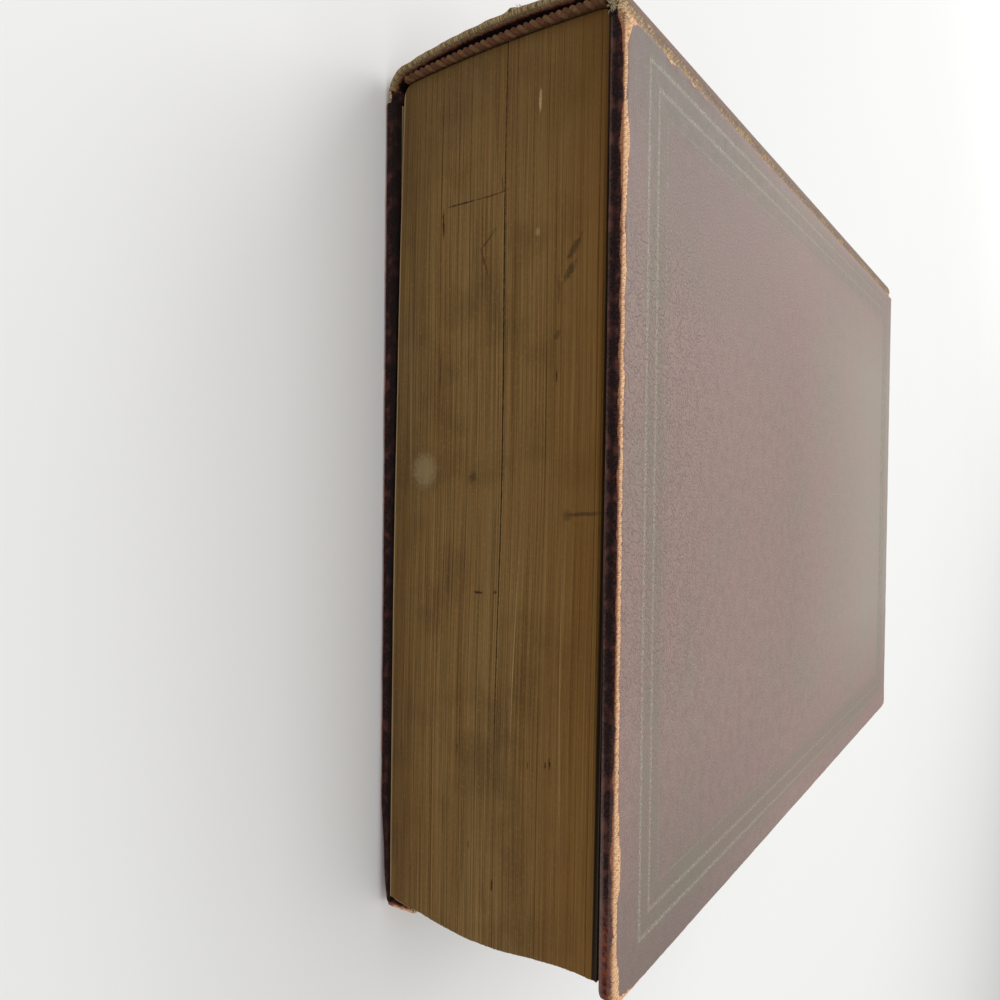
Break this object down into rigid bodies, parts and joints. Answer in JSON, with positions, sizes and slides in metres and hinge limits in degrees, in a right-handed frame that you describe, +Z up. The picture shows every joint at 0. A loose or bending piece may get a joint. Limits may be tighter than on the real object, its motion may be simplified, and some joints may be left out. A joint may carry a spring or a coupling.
{
  "type": "antique hardcover book",
  "caption": "Thick case-bound antique book with worn leather-grained covers that open, a rounded hollow spine, sewn pages and striped endbands.",
  "frame": {"origin": "on the face the book lies on, under the middle of its bounding box", "axes": "+X from the spine to the fore-edge, +Y from the tail to the head, +Z up through the thickness to the front cover"},
  "size_m": [0.207, 0.278, 0.0654],
  "materials": {
    "leather_covering": "grained maroon-brown covering, worn through to tan cloth at the edges",
    "pasteboard": "matte",
    "endpaper": "aged, matte",
    "pages": "toned page ends, matte",
    "linen": "matte",
    "lining_paper": "matte",
    "endband_thread": "two-coloured thread"
  },
  "bodies": {
    "block": {"text_block": "pages", "front_flyleaf": "endpaper", "back_flyleaf": "endpaper", "sewing_tapes": "linen", "mull": "linen", "spine_lining": "lining_paper", "tail_endband": "endband_thread", "head_endband": "endband_thread", "spine_inlay": "pasteboard", "spine_covering": "leather_covering"},
    "front_cover": {"front_board": "pasteboard", "front_covering": "leather_covering", "front_pastedown": "endpaper"},
    "back_cover": {"back_board": "pasteboard", "back_covering": "leather_covering", "back_pastedown": "endpaper"}
  },
  "joints": [
    {"name": "front_cover_hinge", "type": "hinge", "parent": "block", "child": "front_cover", "pos_m": [-0.09845, 0, 0.0625], "axis": [0, -1, 0], "range_deg": [0, 179.5]},
    {"name": "back_cover_hinge", "type": "hinge", "parent": "block", "child": "back_cover", "pos_m": [-0.09845, 0, 0.0029], "axis": [0, 1, 0], "range_deg": [0, 179.5]}
  ]
}
